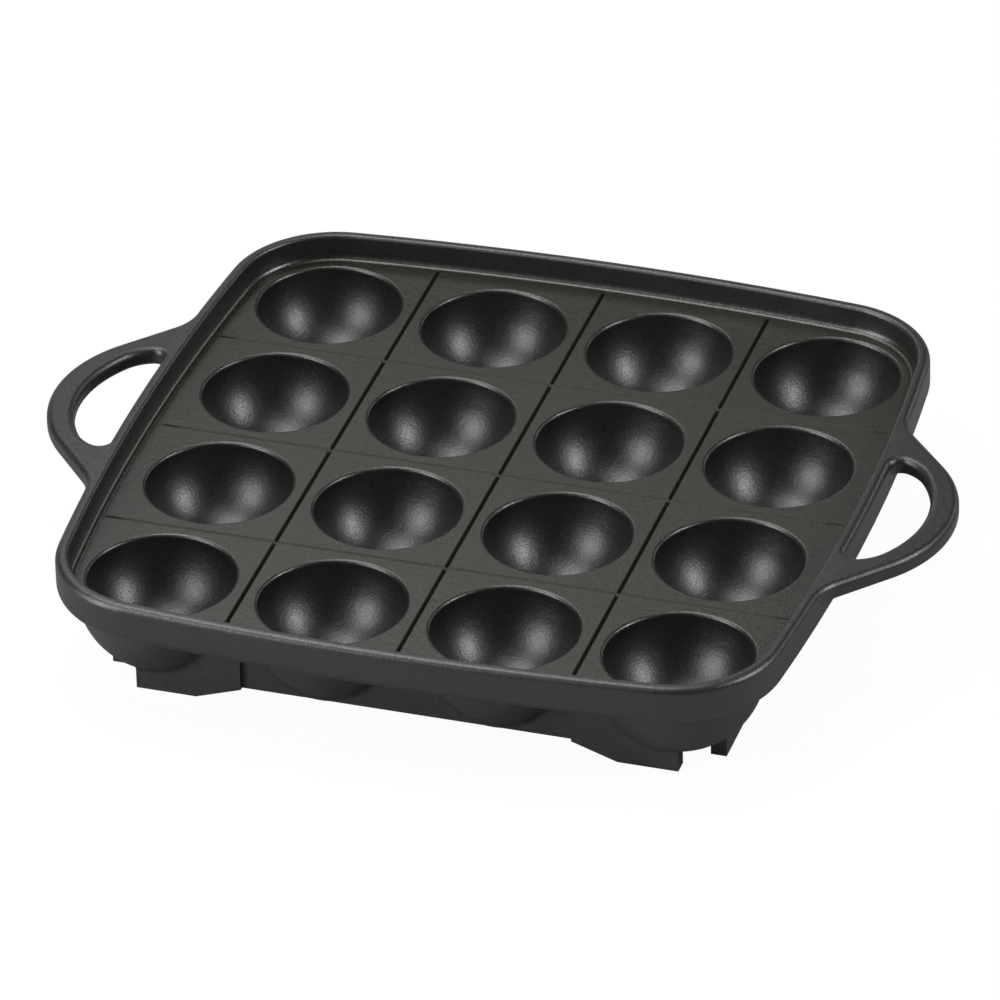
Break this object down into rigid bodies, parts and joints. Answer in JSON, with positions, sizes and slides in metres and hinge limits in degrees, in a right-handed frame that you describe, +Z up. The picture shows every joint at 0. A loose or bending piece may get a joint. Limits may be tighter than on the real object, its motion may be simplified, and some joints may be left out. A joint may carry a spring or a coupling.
{
  "type": "takoyaki pan",
  "caption": "Cast takoyaki pan: a square tray of half-ball cups with a low wall, a loop handle at each end and foot rails underneath.",
  "frame": {"origin": "on the standing surface, under the middle of the tray", "axes": "+X towards the right handle, +Y away from the front row of cups, +Z up"},
  "size_m": [0.255, 0.208, 0.035],
  "materials": {
    "coated_casting": "dark satin non-stick coating with a fine speckle"
  },
  "bodies": {
    "root": {"cup_row1_col1": "coated_casting", "cup_row1_col2": "coated_casting", "cup_row1_col3": "coated_casting", "cup_row1_col4": "coated_casting", "cup_row2_col1": "coated_casting", "cup_row2_col2": "coated_casting", "cup_row2_col3": "coated_casting", "cup_row2_col4": "coated_casting", "cup_row3_col1": "coated_casting", "cup_row3_col2": "coated_casting", "cup_row3_col3": "coated_casting", "cup_row3_col4": "coated_casting", "cup_row4_col1": "coated_casting", "cup_row4_col2": "coated_casting", "cup_row4_col3": "coated_casting", "cup_row4_col4": "coated_casting", "tray_wall": "coated_casting", "left_handle": "coated_casting", "right_handle": "coated_casting", "front_foot_rail": "coated_casting", "back_foot_rail": "coated_casting", "left_foot_rail": "coated_casting", "right_foot_rail": "coated_casting"}
  },
  "joints": []
}
